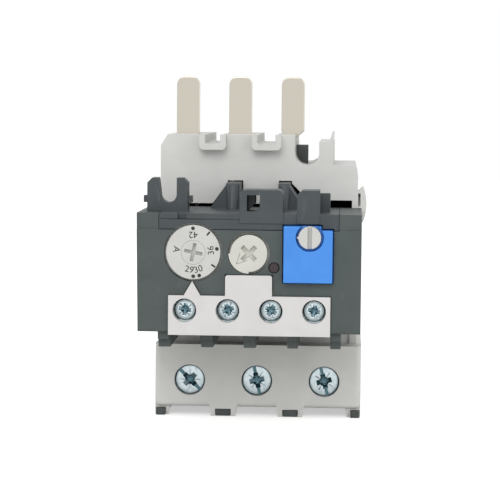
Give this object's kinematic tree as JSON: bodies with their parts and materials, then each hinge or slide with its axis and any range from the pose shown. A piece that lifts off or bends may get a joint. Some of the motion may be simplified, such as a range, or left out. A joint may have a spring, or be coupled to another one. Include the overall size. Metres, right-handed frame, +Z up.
{
  "type": "thermal overload relay",
  "caption": "Plug-on thermal overload relay with three blades, setting dial, reset button, screw terminals and trip mechanism.",
  "frame": {"origin": "under the middle of the part, at the level of the feet", "axes": "+X to the right seen from the front, +Y from the front to the back, +Z up along the blades"},
  "size_m": [0.0571, 0.076, 0.089],
  "materials": {
    "light_housing": "fine grained light grey thermoplastic",
    "dark_housing": "fine grained dark grey thermoplastic",
    "inner_moulding": "black-grey thermoset",
    "tinned_copper": "tin plated copper, slightly dull",
    "zinc_steel": "blue passivated zinc plated steel",
    "pin_steel": "plain steel",
    "bimetal": "rolled bimetal",
    "heater_ribbon": "resistance ribbon on glass sleeve",
    "contact_alloy": "brass with silvered contacts",
    "white_plastic": "white polyamide",
    "slider_plastic": "natural polyamide",
    "blue_plastic": "blue thermoplastic",
    "red_plastic": "dark red thermoplastic"
  },
  "bodies": {
    "housing": {"base_housing": "light_housing", "back_cover": "inner_moulding", "back_cover_screws": "zinc_steel", "terminal_carrier": "inner_moulding", "compensation_pivot": "pin_steel", "front_cover": "dark_housing", "terminal_fascia": "light_housing", "mounting_bracket": "dark_housing", "setting_pivot": "pin_steel", "contact_carrier": "inner_moulding", "rocker_pivot": "pin_steel", "pin_insulator": "inner_moulding", "reset_spring": "pin_steel", "connection_pin_1": "tinned_copper", "connection_pin_2": "tinned_copper", "connection_pin_3": "tinned_copper", "load_bar_1": "tinned_copper", "load_bar_2": "tinned_copper", "load_bar_3": "tinned_copper", "aux_terminal_1": "contact_alloy", "aux_terminal_2": "contact_alloy", "aux_terminal_3": "contact_alloy", "aux_terminal_4": "contact_alloy"},
    "dial": {"setting_dial": "white_plastic", "setting_cam": "white_plastic"},
    "dial_lever": {"setting_lever": "pin_steel"},
    "selector": {"selector_disc": "white_plastic"},
    "button": {"reset_button": "blue_plastic"},
    "mode_knob": {"reset_mode_knob": "white_plastic"},
    "tester": {"test_pin": "red_plastic"},
    "slider": {"trip_slider": "slider_plastic", "differential_lever": "slider_plastic"},
    "second_slider": {"differential_slider": "slider_plastic"},
    "compensator": {"compensation_lever": "bimetal"},
    "rocker": {"trip_rocker": "slider_plastic", "nc_bridge": "contact_alloy", "no_bridge": "contact_alloy"},
    "strip_1": {"bimetal_strip_1": "bimetal", "heater_winding_1": "heater_ribbon"},
    "screw_1": {"main_screw_1": "zinc_steel"},
    "cage_1": {"clamp_cage_1": "zinc_steel"},
    "strip_2": {"bimetal_strip_2": "bimetal", "heater_winding_2": "heater_ribbon"},
    "screw_2": {"main_screw_2": "zinc_steel"},
    "cage_2": {"clamp_cage_2": "zinc_steel"},
    "strip_3": {"bimetal_strip_3": "bimetal", "heater_winding_3": "heater_ribbon"},
    "screw_3": {"main_screw_3": "zinc_steel"},
    "cage_3": {"clamp_cage_3": "zinc_steel"},
    "aux_saddle_1": {"aux_clamp_1": "zinc_steel"},
    "aux_turner_1": {"aux_screw_1": "zinc_steel"},
    "aux_saddle_2": {"aux_clamp_2": "zinc_steel"},
    "aux_turner_2": {"aux_screw_2": "zinc_steel"},
    "aux_saddle_3": {"aux_clamp_3": "zinc_steel"},
    "aux_turner_3": {"aux_screw_3": "zinc_steel"},
    "aux_saddle_4": {"aux_clamp_4": "zinc_steel"},
    "aux_turner_4": {"aux_screw_4": "zinc_steel"}
  },
  "joints": [
    {"name": "dial_turn", "type": "hinge", "parent": "housing", "child": "dial", "pos_m": [-0.01444, -0.0358, 0.0451], "axis": [0, 1, 0], "range_deg": [0, 182]},
    {"name": "dial_lever_swing", "type": "hinge", "parent": "housing", "child": "dial_lever", "pos_m": [-0.02349, -0.0262, 0.0384], "axis": [0, 1, 0], "range_deg": [-10.46, 0.1]},
    {"name": "selector_turn", "type": "hinge", "parent": "housing", "child": "selector", "pos_m": [-0.00065, -0.0362, 0.045], "axis": [0, 1, 0], "range_deg": [0, 90]},
    {"name": "reset_press", "type": "slide", "parent": "housing", "child": "button", "axis": [0, 1, 0], "range_m": [0, 0.003], "stiffness_N_per_m": 600},
    {"name": "mode_turn", "type": "hinge", "parent": "button", "child": "mode_knob", "pos_m": [0.0144, -0.038, 0.04915], "axis": [0, -1, 0], "range_deg": [0, 90]},
    {"name": "test_press", "type": "slide", "parent": "housing", "child": "tester", "axis": [0, 1, 0], "range_m": [0, 0.0015], "stiffness_N_per_m": 400},
    {"name": "main_screw_turn_1", "type": "hinge", "parent": "housing", "child": "screw_1", "pos_m": [-0.01729, -0.009, 0.00944], "axis": [0, 1, 0], "range_deg": [0, 1081]},
    {"name": "cage_draw_1", "type": "slide", "parent": "housing", "child": "cage_1", "axis": [0, -1, 0], "range_m": [0, 0.0021]},
    {"name": "main_screw_turn_2", "type": "hinge", "parent": "housing", "child": "screw_2", "pos_m": [0.00034, -0.009, 0.00944], "axis": [0, 1, 0], "range_deg": [0, 1081]},
    {"name": "cage_draw_2", "type": "slide", "parent": "housing", "child": "cage_2", "axis": [0, -1, 0], "range_m": [0, 0.0021]},
    {"name": "main_screw_turn_3", "type": "hinge", "parent": "housing", "child": "screw_3", "pos_m": [0.01797, -0.009, 0.00944], "axis": [0, 1, 0], "range_deg": [0, 1081]},
    {"name": "cage_draw_3", "type": "slide", "parent": "housing", "child": "cage_3", "axis": [0, -1, 0], "range_m": [0, 0.0021]},
    {"name": "aux_clamp_lift_1", "type": "slide", "parent": "housing", "child": "aux_saddle_1", "axis": [0, -1, 0], "range_m": [0, 0.002]},
    {"name": "aux_screw_turn_1", "type": "hinge", "parent": "aux_saddle_1", "child": "aux_turner_1", "pos_m": [-0.01647, -0.0346, 0.03075], "axis": [0, -1, 0], "range_deg": [0, 1201]},
    {"name": "aux_clamp_lift_2", "type": "slide", "parent": "housing", "child": "aux_saddle_2", "axis": [0, -1, 0], "range_m": [0, 0.002]},
    {"name": "aux_screw_turn_2", "type": "hinge", "parent": "aux_saddle_2", "child": "aux_turner_2", "pos_m": [-0.00577, -0.0346, 0.03075], "axis": [0, -1, 0], "range_deg": [0, 1201]},
    {"name": "aux_clamp_lift_3", "type": "slide", "parent": "housing", "child": "aux_saddle_3", "axis": [0, -1, 0], "range_m": [0, 0.002]},
    {"name": "aux_screw_turn_3", "type": "hinge", "parent": "aux_saddle_3", "child": "aux_turner_3", "pos_m": [0.00493, -0.0346, 0.03075], "axis": [0, -1, 0], "range_deg": [0, 1201]},
    {"name": "aux_clamp_lift_4", "type": "slide", "parent": "housing", "child": "aux_saddle_4", "axis": [0, -1, 0], "range_m": [0, 0.002]},
    {"name": "aux_screw_turn_4", "type": "hinge", "parent": "aux_saddle_4", "child": "aux_turner_4", "pos_m": [0.01563, -0.0346, 0.03075], "axis": [0, -1, 0], "range_deg": [0, 1201]},
    {"name": "slider_push", "type": "slide", "parent": "housing", "child": "slider", "axis": [-1, 0, 0], "range_m": [0, 0.0015], "stiffness_N_per_m": 300},
    {"name": "second_slider_push", "type": "slide", "parent": "housing", "child": "second_slider", "axis": [-1, 0, 0], "range_m": [0, 0.00152]},
    {"name": "strip_bend_1", "type": "hinge", "parent": "housing", "child": "strip_1", "pos_m": [-0.01729, 0.013, 0.05945], "axis": [0, 1, 0], "range_deg": [0, 2.9]},
    {"name": "strip_bend_2", "type": "hinge", "parent": "housing", "child": "strip_2", "pos_m": [0.00034, 0.013, 0.05945], "axis": [0, 1, 0], "range_deg": [0, 2.9]},
    {"name": "strip_bend_3", "type": "hinge", "parent": "housing", "child": "strip_3", "pos_m": [0.01797, 0.013, 0.05945], "axis": [0, 1, 0], "range_deg": [0, 2.9]},
    {"name": "compensation_swing", "type": "hinge", "parent": "housing", "child": "compensator", "pos_m": [-0.0215, 0.022, 0.045], "axis": [0, 1, 0], "range_deg": [0, 5.41]},
    {"name": "rocker_tip", "type": "hinge", "parent": "housing", "child": "rocker", "pos_m": [-0.00042, -0.0215, 0.0416], "axis": [0, 1, 0], "range_deg": [0, 5.1]}
  ],
  "couplings": [
    {"joint": "dial_lever_swing", "follows": "dial_turn", "ratio": -0.056384},
    {"joint": "main_screw_turn_1", "follows": "cage_draw_1", "rad_per_m": 8976},
    {"joint": "main_screw_turn_2", "follows": "cage_draw_2", "rad_per_m": 8976},
    {"joint": "main_screw_turn_3", "follows": "cage_draw_3", "rad_per_m": 8976},
    {"joint": "aux_screw_turn_1", "follows": "aux_clamp_lift_1", "rad_per_m": 10472},
    {"joint": "aux_screw_turn_2", "follows": "aux_clamp_lift_2", "rad_per_m": 10472},
    {"joint": "aux_screw_turn_3", "follows": "aux_clamp_lift_3", "rad_per_m": 10472},
    {"joint": "aux_screw_turn_4", "follows": "aux_clamp_lift_4", "rad_per_m": 10472},
    {"joint": "second_slider_push", "follows": "slider_push", "ratio": 1},
    {"joint": "strip_bend_1", "follows": "slider_push", "rad_per_m": 32.626},
    {"joint": "strip_bend_2", "follows": "slider_push", "rad_per_m": 32.626},
    {"joint": "strip_bend_3", "follows": "slider_push", "rad_per_m": 32.626},
    {"joint": "compensation_swing", "follows": "slider_push", "rad_per_m": 61.728},
    {"joint": "rocker_tip", "follows": "slider_push", "rad_per_m": 58.178}
  ]
}
